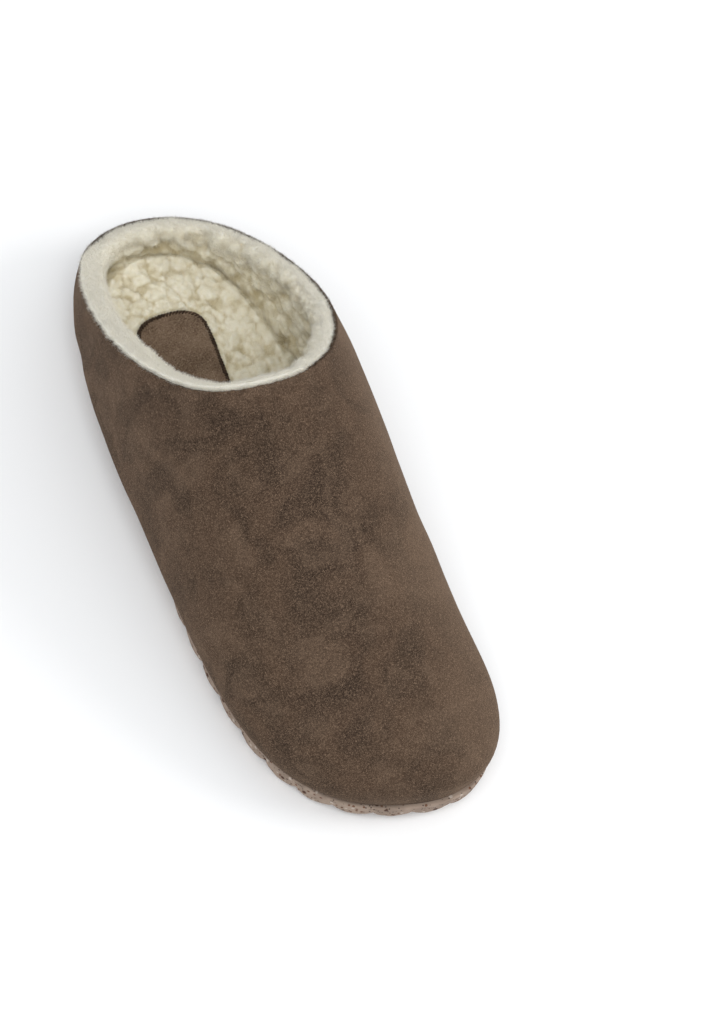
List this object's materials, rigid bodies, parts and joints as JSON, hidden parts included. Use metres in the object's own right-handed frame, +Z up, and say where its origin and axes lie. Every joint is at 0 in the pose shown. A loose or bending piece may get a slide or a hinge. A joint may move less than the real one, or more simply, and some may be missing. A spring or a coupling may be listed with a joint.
{
  "type": "clog slipper",
  "caption": "Closed-toe clog slipper for the right foot: suede upper, shearling lining and collar, lugged rubber outsole.",
  "frame": {"origin": "middle of the overall box, on the floor under the sole", "axes": "+Z up, toe towards -Y, heel towards +Y, big toe side towards +X"},
  "size_m": [0.115, 0.292, 0.0964],
  "materials": {
    "sole_rubber": "matt foamed rubber with dark specks",
    "suede": "napped suede",
    "shearling": "curly wool pile",
    "footbed_board": "pressed fibre board"
  },
  "bodies": {
    "root": {"outsole": "sole_rubber", "upper": "suede", "lining": "shearling", "insole": "footbed_board", "insole_fleece": "shearling", "heel_pad": "suede"}
  },
  "joints": []
}
